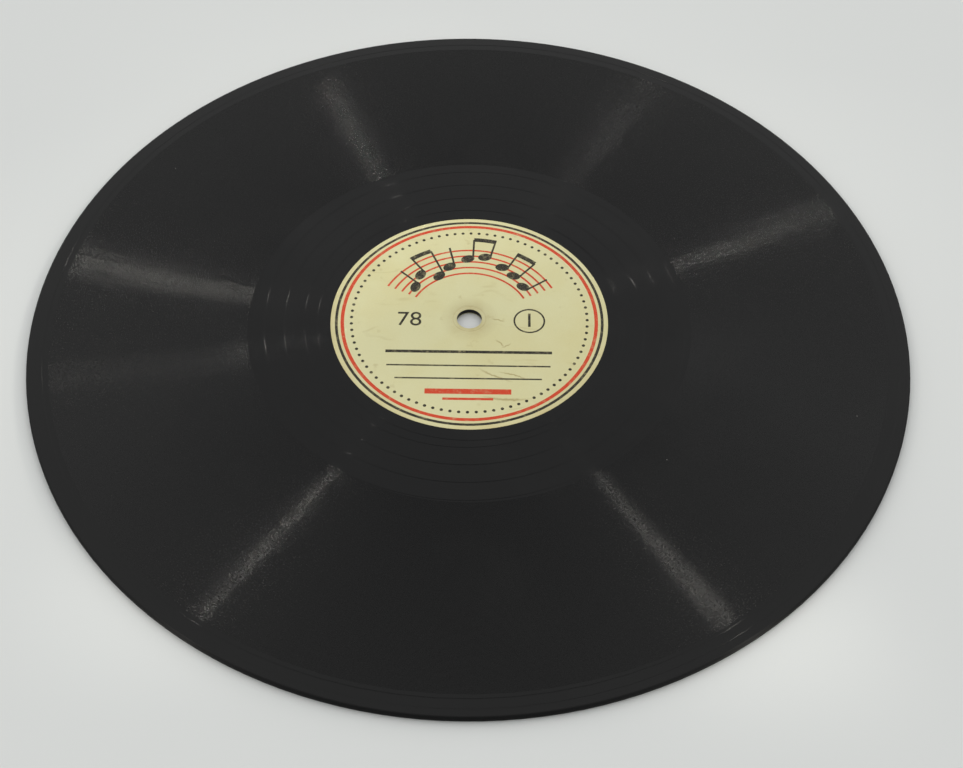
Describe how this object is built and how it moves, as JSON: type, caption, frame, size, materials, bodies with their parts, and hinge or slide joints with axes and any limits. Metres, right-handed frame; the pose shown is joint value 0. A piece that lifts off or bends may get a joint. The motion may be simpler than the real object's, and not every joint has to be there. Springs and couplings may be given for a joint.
{
  "type": "shellac record",
  "caption": "Flat black grooved disc with a spindle hole and a paper label pressed into each face; plays sound on a gramophone turntable.",
  "frame": {"origin": "on the axis of the spindle hole, at the back face that the disc lies on", "axes": "+Z along the spindle hole, out of the front face; +Y towards the top of the front label"},
  "size_m": [0.25, 0.25, 0.002],
  "materials": {
    "shellac": "gloss",
    "front_label_paper": "matte",
    "back_label_paper": "matte"
  },
  "bodies": {
    "root": {"disc": "shellac", "front_label": "front_label_paper", "back_label": "back_label_paper"}
  },
  "joints": []
}
